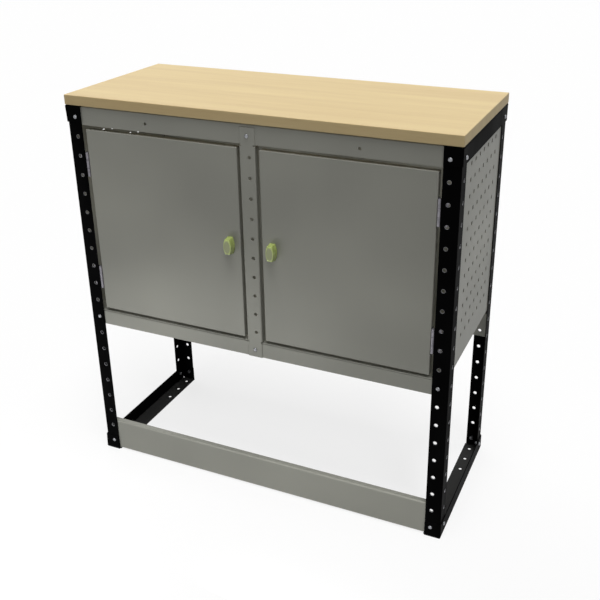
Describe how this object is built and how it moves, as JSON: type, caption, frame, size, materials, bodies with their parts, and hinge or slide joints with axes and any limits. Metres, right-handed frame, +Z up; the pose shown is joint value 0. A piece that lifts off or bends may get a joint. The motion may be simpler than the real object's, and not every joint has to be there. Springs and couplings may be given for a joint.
{
  "type": "workbench with cabinet doors",
  "caption": "Free-standing steel workbench on drilled angle posts, with a wooden top, a cabinet with hinged doors and turn latches, perforated sides and an open lower bay with a kick plate.",
  "frame": {"origin": "on the floor, under the middle of the overall box, knobs and bolt heads included", "axes": "+Z up, +X to the right seen from the front, +Y from the doors to the back"},
  "size_m": [1.0066, 0.4352, 1.0313],
  "materials": {
    "wood_top": "oiled pale board",
    "black_angle": "satin black paint",
    "grey_sheet": "satin warm grey paint",
    "zinc": "zinc plated",
    "hinge_steel": "bare satin steel",
    "knob_brass": "yellow passivated casting"
  },
  "bodies": {
    "frame": {"worktop": "wood_top", "post_front_left": "black_angle", "post_front_right": "black_angle", "post_rear_left": "black_angle", "post_rear_right": "black_angle", "side_rail_top_left": "black_angle", "side_rail_top_right": "black_angle", "side_rail_bottom_left": "black_angle", "side_rail_bottom_right": "black_angle", "front_top_rail": "grey_sheet", "front_bottom_rail": "grey_sheet", "rear_bottom_rail": "grey_sheet", "mullion": "grey_sheet", "kick_plate": "grey_sheet", "side_panel_left": "grey_sheet", "side_panel_right": "grey_sheet", "back_panel": "grey_sheet", "cabinet_floor": "grey_sheet", "hinge_post_leaf_top_left": "hinge_steel", "hinge_post_leaf_bottom_left": "hinge_steel", "hinge_post_leaf_top_right": "hinge_steel", "hinge_post_leaf_bottom_right": "hinge_steel", "hinge_pin_top_left": "zinc", "hinge_pin_bottom_left": "zinc", "hinge_pin_top_right": "zinc", "hinge_pin_bottom_right": "zinc", "bolt_tab_front_top_left": "zinc", "bolt_tab_front_bottom_left": "zinc", "bolt_tab_front_top_right": "zinc", "bolt_tab_front_bottom_right": "zinc", "bolt_tab_rear_top_left": "zinc", "bolt_tab_rear_bottom_left": "zinc", "bolt_tab_rear_top_right": "zinc", "bolt_tab_rear_bottom_right": "zinc", "bolt_side_front_top_left": "zinc", "bolt_side_front_bottom_left": "zinc", "bolt_side_front_top_right": "zinc", "bolt_side_front_bottom_right": "zinc", "bolt_side_rear_top_left": "zinc", "bolt_side_rear_bottom_left": "zinc", "bolt_side_rear_top_right": "zinc", "bolt_side_rear_bottom_right": "zinc", "bolt_rail_front_left": "zinc", "bolt_rail_front_right": "zinc", "bolt_rail_rear_left": "zinc", "bolt_rail_rear_right": "zinc", "bolt_mullion_top": "zinc", "bolt_mullion_bottom": "zinc"},
    "left_door": {"door_left": "grey_sheet", "hinge_door_leaf_top_left": "hinge_steel", "hinge_door_leaf_bottom_left": "hinge_steel", "latch_nut_left": "zinc"},
    "right_door": {"door_right": "grey_sheet", "hinge_door_leaf_top_right": "hinge_steel", "hinge_door_leaf_bottom_right": "hinge_steel", "latch_nut_right": "zinc"},
    "left_latch": {"latch_knob_left": "knob_brass", "latch_cam_left": "zinc"},
    "right_latch": {"latch_knob_right": "knob_brass", "latch_cam_right": "zinc"}
  },
  "joints": [
    {"name": "left_door_hinge", "type": "hinge", "parent": "frame", "child": "left_door", "pos_m": [-0.45335, -0.1971, 0.703], "axis": [0, 0, -1], "range_deg": [0, 110]},
    {"name": "right_door_hinge", "type": "hinge", "parent": "frame", "child": "right_door", "pos_m": [0.45335, -0.1971, 0.703], "axis": [0, 0, 1], "range_deg": [0, 110]},
    {"name": "left_latch_turn", "type": "hinge", "parent": "left_door", "child": "left_latch", "pos_m": [-0.0564, -0.1981, 0.703], "axis": [0, -1, 0], "range_deg": [0, 90]},
    {"name": "right_latch_turn", "type": "hinge", "parent": "right_door", "child": "right_latch", "pos_m": [0.0564, -0.1981, 0.703], "axis": [0, 1, 0], "range_deg": [0, 90]}
  ]
}
